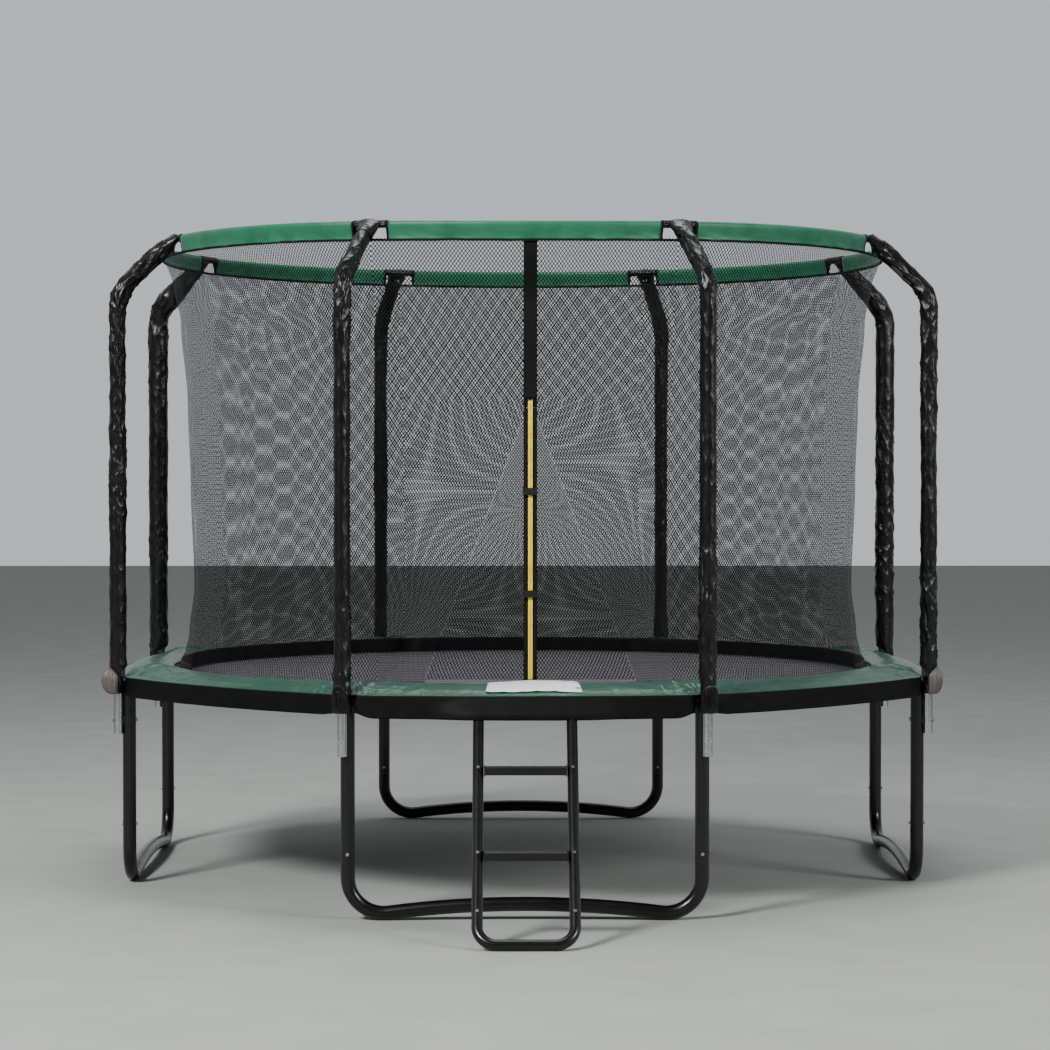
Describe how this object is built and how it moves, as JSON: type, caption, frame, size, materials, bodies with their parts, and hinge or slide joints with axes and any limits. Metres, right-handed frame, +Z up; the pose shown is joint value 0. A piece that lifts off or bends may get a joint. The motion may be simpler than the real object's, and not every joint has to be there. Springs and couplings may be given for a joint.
{
  "type": "trampoline",
  "caption": "Round garden trampoline on U-shaped tube legs, with padded poles, an inside safety net with a zipped door, a spring pad with skirt, and a hook-on ladder.",
  "frame": {"origin": "centre of the round frame, at ground level under the leg bases", "axes": "+Z up; the door and the ladder are on the -Y side, so +Y points from the front to the back; +X is to the right of someone facing the door"},
  "size_m": [3.5572, 4.1999, 2.7501],
  "materials": {
    "rail_steel": "black powder-coated tube",
    "black_steel": "black gloss powder coat",
    "galvanised_steel": "bright galvanised tube",
    "grey_foam": "closed-cell foam",
    "black_pvc": "shiny black PVC-coated cloth",
    "black_plastic": "moulded black polypropylene",
    "green_fabric": "satin green woven polyester",
    "net_mesh": "black knitted diamond mesh",
    "black_webbing": "black woven webbing",
    "yellow_zip": "yellow coil zip and tape",
    "woven_mat": "woven black polypropylene mat",
    "zinc_steel": "zinc-plated steel",
    "green_pvc": "dark green PVC tarpaulin",
    "white_patch": "plain white PVC patch, blank"
  },
  "bodies": {
    "root": {"rail_1": "rail_steel", "rail_2": "rail_steel", "rail_3": "rail_steel", "rail_4": "rail_steel", "rail_5": "rail_steel", "rail_6": "rail_steel", "rail_7": "rail_steel", "rail_8": "rail_steel", "leg_base_right": "black_steel", "leg_base_rear": "black_steel", "leg_base_left": "black_steel", "leg_base_front": "black_steel", "leg_1": "black_steel", "leg_2": "black_steel", "leg_3": "black_steel", "leg_4": "black_steel", "leg_5": "black_steel", "leg_6": "black_steel", "leg_7": "black_steel", "leg_8": "black_steel", "pole_1": "galvanised_steel", "pole_2": "galvanised_steel", "pole_3": "galvanised_steel", "pole_4": "galvanised_steel", "pole_5": "galvanised_steel", "pole_6": "galvanised_steel", "pole_7": "galvanised_steel", "pole_8": "galvanised_steel", "pole_foam": "grey_foam", "pole_sleeves": "black_pvc", "pole_caps": "black_plastic", "top_ring": "black_plastic", "top_band": "green_fabric", "net_wall": "net_mesh", "net_base_band": "black_webbing", "springs": "zinc_steel", "safety_pad": "green_pvc", "skirt": "black_pvc", "skirt_front": "black_pvc", "pole_boots": "black_pvc", "pole_saddles": "black_plastic", "frame_bolts": "zinc_steel", "pad_patch": "white_patch"},
    "mat": {"jump_mat": "woven_mat", "mat_rings": "zinc_steel"},
    "door_left": {"door_flap_left": "net_mesh", "zip_left": "yellow_zip", "buckle_sockets": "black_plastic"},
    "door_right": {"door_flap_right": "net_mesh", "zip_right": "yellow_zip"},
    "plug_upper": {"buckle_plug_upper": "black_plastic"},
    "plug_lower": {"buckle_plug_lower": "black_plastic"},
    "slider": {"zip_slider": "black_plastic"},
    "pull": {"zip_pull": "black_plastic"},
    "ladder": {"ladder_stile_left": "black_steel", "ladder_stile_right": "black_steel", "ladder_base": "black_steel", "ladder_step_upper": "black_steel", "ladder_step_lower": "black_steel", "ladder_bolts": "zinc_steel"}
  },
  "joints": [
    {"name": "mat_bounce", "type": "slide", "parent": "root", "child": "mat", "axis": [0, 0, 1], "range_m": [-0.12, 0], "stiffness_N_per_m": 5000, "springref_m": 0.04, "deforming": ["springs"]},
    {"name": "door_left_fold", "type": "hinge", "parent": "root", "child": "door_left", "pos_m": [-0.396, -1.482, 0.925], "axis": [-0.3458, 0, -0.9383], "range_deg": [0, 90]},
    {"name": "door_right_fold", "type": "hinge", "parent": "root", "child": "door_right", "pos_m": [0.44, -1.482, 0.925], "axis": [-0.3458, 0, 0.9383], "range_deg": [0, 90]},
    {"name": "upper_buckle", "type": "slide", "parent": "door_left", "child": "plug_upper", "axis": [1, 0, 0], "range_m": [0, 0.028]},
    {"name": "lower_buckle", "type": "slide", "parent": "door_left", "child": "plug_lower", "axis": [1, 0, 0], "range_m": [0, 0.028]},
    {"name": "zip_travel", "type": "slide", "parent": "root", "child": "slider", "axis": [0, 0, -1], "range_m": [0, 1.09]},
    {"name": "zip_pull_swing", "type": "hinge", "parent": "slider", "child": "pull", "pos_m": [0.022, -1.475, 2.044], "axis": [1, 0, 0], "range_deg": [0, 110]},
    {"name": "ladder_swing", "type": "hinge", "parent": "root", "child": "ladder", "pos_m": [0, -1.73943, 0.853], "axis": [-1, 0, 0], "range_deg": [0, 20], "deforming": ["skirt_front"]}
  ],
  "couplings": [
    {"joint": "door_right_fold", "follows": "door_left_fold", "ratio": 1}
  ]
}
